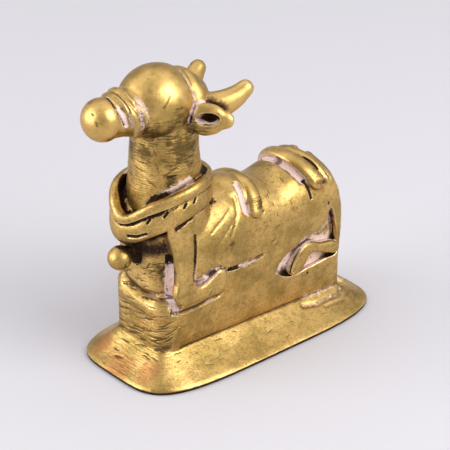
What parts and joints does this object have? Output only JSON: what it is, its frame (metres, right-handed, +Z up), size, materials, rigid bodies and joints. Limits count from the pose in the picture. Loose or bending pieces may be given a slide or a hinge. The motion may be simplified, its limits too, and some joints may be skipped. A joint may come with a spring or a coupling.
{
  "type": "cast brass nandi bull figure",
  "caption": "Small cast brass figure of a lying bull with a collar, halter and bell, on a plinth with a flared foot, that stands on its flat underside.",
  "frame": {"origin": "centre of the foot's flat underside", "axes": "+Z up, and the bull faces -X, so its left flank is at -Y"},
  "size_m": [0.0748, 0.0354, 0.0709],
  "materials": {
    "worn_brass": "polished by handling on the high forms, dark brown and mauve residue in the hollows"
  },
  "bodies": {
    "root": {"nandi_bull_casting": "worn_brass"}
  },
  "joints": []
}
